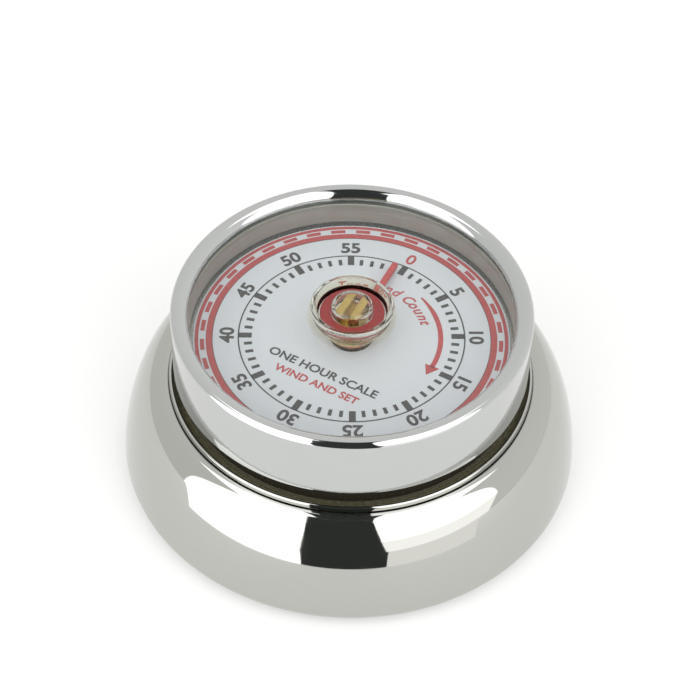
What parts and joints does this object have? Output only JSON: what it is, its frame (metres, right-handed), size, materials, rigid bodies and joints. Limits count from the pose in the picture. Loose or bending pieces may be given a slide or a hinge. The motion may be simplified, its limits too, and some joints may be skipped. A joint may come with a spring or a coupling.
{
  "type": "kitchen timer",
  "caption": "Round magnetic wind-up kitchen timer: a domed chrome body under a turning chrome bezel with a clear lens, minute dial and red pointer.",
  "frame": {"origin": "centre of the underside, on the surface it rests on", "axes": "+Z out of the dial along the winding axis, +Y towards the dial's 0 mark, +X towards its 15 minute mark"},
  "size_m": [0.07, 0.07, 0.032],
  "materials": {
    "chrome_body": "polished",
    "chrome_bezel": "polished",
    "clear_plastic": "polished",
    "brushed_ring": "brushed",
    "red_pointer": "gloss",
    "dial_white": "satin",
    "dark_drum": "satin",
    "black_plastic": "matte",
    "ferrite": "matte",
    "plate_steel": "brushed",
    "bell_steel": "polished",
    "screw_steel": "satin",
    "spring_steel": "blued",
    "ink_black": "satin",
    "ink_red": "satin",
    "brass": "satin"
  },
  "bodies": {
    "root": {"body_shell": "chrome_body", "neck_drum": "dark_drum", "base_plate": "black_plastic", "base_screws": "screw_steel", "magnet": "ferrite", "magnet_keeper": "plate_steel", "keeper_screws": "screw_steel", "bell_post": "brass", "bell": "bell_steel", "bell_screw": "screw_steel", "rear_plate": "brass", "front_plate": "brass", "pillars": "plate_steel", "front_pillar_screws": "screw_steel", "rear_pillar_screws": "screw_steel", "front_bush": "brass", "rear_bush": "brass", "spring_post": "screw_steel", "mainspring": "spring_steel", "dial_plate": "plate_steel", "dial_face": "dial_white", "hammer_stop": "screw_steel"},
    "head": {"bezel": "chrome_bezel", "lens": "clear_plastic", "hub_insert": "red_pointer", "lens_ring": "brushed_ring", "pointer": "red_pointer", "main_arbor": "brass", "arbor_clip": "spring_steel", "main_wheel": "brass", "strike_pin": "screw_steel", "ratchet_wheel": "screw_steel", "click": "screw_steel", "click_stud": "screw_steel", "click_spring": "spring_steel"},
    "second": {"second_arbor": "screw_steel", "second_pinion": "screw_steel", "second_wheel": "brass"},
    "third": {"third_arbor": "screw_steel", "third_pinion": "screw_steel", "third_wheel": "brass"},
    "escape": {"escape_arbor": "screw_steel", "escape_pinion": "screw_steel", "escape_wheel": "brass"},
    "balance": {"anchor_arbor": "screw_steel", "anchor": "brass", "pallet_pins": "screw_steel", "balance_ring": "brass"},
    "hammer": {"hammer_arbor": "screw_steel", "hammer_arm": "plate_steel", "hammer_head": "brass", "hammer_tail": "plate_steel", "hammer_spring": "spring_steel"}
  },
  "joints": [
    {"name": "head_turn", "type": "hinge", "parent": "root", "child": "head", "pos_m": [0, 0, 0.028], "axis": [0, 0, -1], "range_deg": [0, 354]},
    {"name": "second_turn", "type": "hinge", "parent": "root", "child": "second", "pos_m": [0.01225, 0, 0.016], "axis": [0, 0, 1], "continuous": true},
    {"name": "third_turn", "type": "hinge", "parent": "root", "child": "third", "pos_m": [0.00731, 0.00926, 0.016], "axis": [0, 0, 1], "continuous": true},
    {"name": "escape_turn", "type": "hinge", "parent": "root", "child": "escape", "pos_m": [-0.00091, 0.01226, 0.016], "axis": [0, 0, 1], "continuous": true},
    {"name": "anchor_rock", "type": "hinge", "parent": "root", "child": "balance", "pos_m": [-0.00619, 0.01319, 0.016], "axis": [0, 0, 1], "range_deg": [-10, 10]},
    {"name": "hammer_swing", "type": "hinge", "parent": "root", "child": "hammer", "pos_m": [-0.01222, -0.00445, 0.016], "axis": [0, 0, -1], "range_deg": [0, 10], "stiffness_Nm_per_rad": 0.002, "springref_deg": -5.73}
  ],
  "couplings": [
    {"joint": "second_turn", "follows": "head_turn", "ratio": 6},
    {"joint": "third_turn", "follows": "head_turn", "ratio": -36},
    {"joint": "escape_turn", "follows": "head_turn", "ratio": 216}
  ]
}
